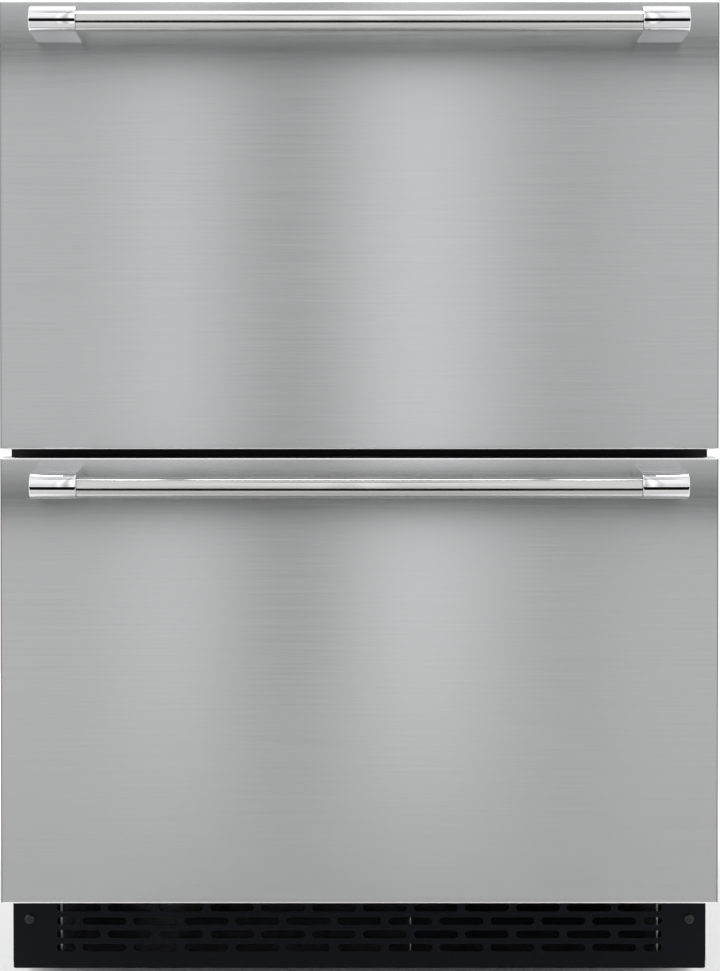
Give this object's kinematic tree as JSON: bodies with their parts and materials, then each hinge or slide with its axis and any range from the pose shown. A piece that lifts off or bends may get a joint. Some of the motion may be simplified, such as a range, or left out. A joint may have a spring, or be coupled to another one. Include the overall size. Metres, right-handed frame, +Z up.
{
  "type": "under counter fridge",
  "caption": "Built-in under counter refrigerator with stacked stainless drawers, bar handles and a slotted toe grille.",
  "frame": {"origin": "on the floor, at the middle of the whole object in width and in depth", "axes": "+Z up, +X to the right as seen from the front, so the drawer fronts face -Y and the drawers open towards -Y"},
  "size_m": [0.603, 0.651, 0.857],
  "materials": {
    "stainless": "satin",
    "polished_steel": "polished",
    "handle_steel": "polished",
    "drawer_steel": "satin",
    "black_paint": "satin",
    "grille_paint": "satin",
    "galvanised": "satin",
    "slide_zinc": "satin",
    "ball_steel": "polished",
    "black_screw": "gloss",
    "black_plastic": "satin",
    "liner_plastic": "satin",
    "cover_plastic": "satin",
    "foam": "matte",
    "rubber": "matte",
    "compressor_paint": "gloss",
    "copper": "satin",
    "coil_metal": "satin",
    "clear_tube": "satin",
    "display_glass": "gloss",
    "light_lens": "satin",
    "button_plastic": "satin"
  },
  "bodies": {
    "cabinet": {"outer_wrapper": "black_paint", "underside_panel": "galvanised", "rear_panel": "galvanised", "insulation_foam": "foam", "inner_liner": "liner_plastic", "front_frame": "black_paint", "mullion": "black_plastic", "base_tray": "galvanised", "base_side_rails": "galvanised", "toe_grille": "grille_paint", "panel_screws": "black_screw", "air_baffle": "galvanised", "compressor": "compressor_paint", "compressor_grommets": "rubber", "compressor_relay_box": "black_plastic", "condenser_coil": "coil_metal", "condenser_fan_frame": "black_plastic", "drip_pan": "black_plastic", "drain_tube": "clear_tube", "refrigerant_pipes": "copper", "filter_drier": "copper", "machine_cover": "galvanised", "power_inlet": "black_plastic", "evaporator_coil": "coil_metal", "evaporator_cover": "cover_plastic", "evaporator_fan_frame": "black_plastic", "led_light": "light_lens", "control_housing": "black_plastic", "control_display": "display_glass", "slide_outer_members": "slide_zinc"},
    "upper_drawer": {"upper_front_skin": "stainless", "upper_front_core": "foam", "upper_inner_panel": "black_plastic", "upper_gasket": "rubber", "upper_handle_tube": "handle_steel", "upper_handle_posts": "polished_steel", "upper_drawer_box": "drawer_steel", "upper_slide_inner": "slide_zinc"},
    "upper_slide": {"upper_slide_middle": "slide_zinc", "upper_slide_balls": "ball_steel"},
    "lower_drawer": {"lower_front_skin": "stainless", "lower_front_core": "foam", "lower_inner_panel": "black_plastic", "lower_gasket": "rubber", "lower_handle_tube": "handle_steel", "lower_handle_posts": "polished_steel", "lower_drawer_box": "drawer_steel", "lower_slide_inner": "slide_zinc"},
    "lower_slide": {"lower_slide_middle": "slide_zinc", "lower_slide_balls": "ball_steel"},
    "condenser_fan": {"condenser_fan_blade": "black_plastic"},
    "evaporator_fan": {"evaporator_fan_blade": "black_plastic"},
    "foot_front_left_body": {"foot_front_left": "black_plastic"},
    "foot_front_right_body": {"foot_front_right": "black_plastic"},
    "foot_rear_left_body": {"foot_rear_left": "black_plastic"},
    "foot_rear_right_body": {"foot_rear_right": "black_plastic"},
    "button_power_body": {"button_power": "button_plastic"},
    "button_colder_body": {"button_colder": "button_plastic"},
    "button_warmer_body": {"button_warmer": "button_plastic"},
    "button_light_body": {"button_light": "button_plastic"}
  },
  "joints": [
    {"name": "upper_drawer_slide", "type": "slide", "parent": "cabinet", "child": "upper_drawer", "axis": [0, -1, 0], "range_m": [0, 0.38]},
    {"name": "upper_slide_travel", "type": "slide", "parent": "cabinet", "child": "upper_slide", "axis": [0, -1, 0], "range_m": [0, 0.19]},
    {"name": "lower_drawer_slide", "type": "slide", "parent": "cabinet", "child": "lower_drawer", "axis": [0, -1, 0], "range_m": [0, 0.26]},
    {"name": "lower_slide_travel", "type": "slide", "parent": "cabinet", "child": "lower_slide", "axis": [0, -1, 0], "range_m": [0, 0.13]},
    {"name": "condenser_fan_spin", "type": "hinge", "parent": "cabinet", "child": "condenser_fan", "pos_m": [-0.152, 0.2305, 0.1029], "axis": [1, 0, 0], "continuous": true},
    {"name": "evaporator_fan_spin", "type": "hinge", "parent": "cabinet", "child": "evaporator_fan", "pos_m": [0, 0.2345, 0.681], "axis": [0, -1, 0], "continuous": true},
    {"name": "foot_front_left_screw", "type": "slide", "parent": "cabinet", "child": "foot_front_left_body", "axis": [0, 0, -1], "range_m": [0, 0.025]},
    {"name": "foot_front_right_screw", "type": "slide", "parent": "cabinet", "child": "foot_front_right_body", "axis": [0, 0, -1], "range_m": [0, 0.025]},
    {"name": "foot_rear_left_screw", "type": "slide", "parent": "cabinet", "child": "foot_rear_left_body", "axis": [0, 0, -1], "range_m": [0, 0.025]},
    {"name": "foot_rear_right_screw", "type": "slide", "parent": "cabinet", "child": "foot_rear_right_body", "axis": [0, 0, -1], "range_m": [0, 0.025]},
    {"name": "button_power_press", "type": "slide", "parent": "cabinet", "child": "button_power_body", "axis": [0, 1, 0], "range_m": [0, 0.001], "stiffness_N_per_m": 400},
    {"name": "button_colder_press", "type": "slide", "parent": "cabinet", "child": "button_colder_body", "axis": [0, 1, 0], "range_m": [0, 0.001], "stiffness_N_per_m": 400},
    {"name": "button_warmer_press", "type": "slide", "parent": "cabinet", "child": "button_warmer_body", "axis": [0, 1, 0], "range_m": [0, 0.001], "stiffness_N_per_m": 400},
    {"name": "button_light_press", "type": "slide", "parent": "cabinet", "child": "button_light_body", "axis": [0, 1, 0], "range_m": [0, 0.001], "stiffness_N_per_m": 400}
  ],
  "couplings": [
    {"joint": "upper_slide_travel", "follows": "upper_drawer_slide", "ratio": 0.5},
    {"joint": "lower_slide_travel", "follows": "lower_drawer_slide", "ratio": 0.5}
  ]
}
